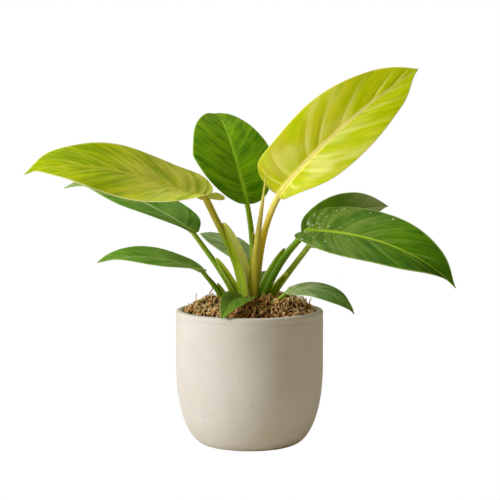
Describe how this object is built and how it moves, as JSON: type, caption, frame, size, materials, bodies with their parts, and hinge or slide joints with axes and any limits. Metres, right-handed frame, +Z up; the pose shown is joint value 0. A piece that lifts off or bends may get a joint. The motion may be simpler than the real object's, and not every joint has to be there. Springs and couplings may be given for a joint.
{
  "type": "potted imperial lemon philodendron",
  "caption": "Round planter filled with potting mix and moss, holding a rosette of broad lime and green leaves on channelled stalks round a rolled new leaf.",
  "frame": {"origin": "centre of the planter's flat foot, on the surface that it stands on", "axes": "+Z up; the picture looks along +Y from the front, with +X to its right"},
  "size_m": [0.423, 0.2035, 0.3838],
  "materials": {
    "pot": "matte",
    "potting_mix": "matte",
    "moss": "matte",
    "crown": "matte",
    "spear": "satin",
    "leaf_lime": "satin",
    "leaf_green": "satin",
    "leaf_dark": "satin"
  },
  "bodies": {
    "root": {"pot": "pot", "potting_mix": "potting_mix", "moss_mulch": "moss", "crown": "crown", "spear": "spear", "leaf_lime_left": "leaf_lime", "leaf_lime_right": "leaf_lime", "leaf_green_back": "leaf_green", "leaf_green_right": "leaf_green", "leaf_green_left": "leaf_dark", "leaf_green_low_left": "leaf_dark", "leaf_green_back_left": "leaf_dark", "leaf_green_back_right": "leaf_dark", "leaf_green_low_right": "leaf_dark", "leaf_green_front": "leaf_dark", "leaf_green_back_low": "leaf_dark"}
  },
  "joints": []
}
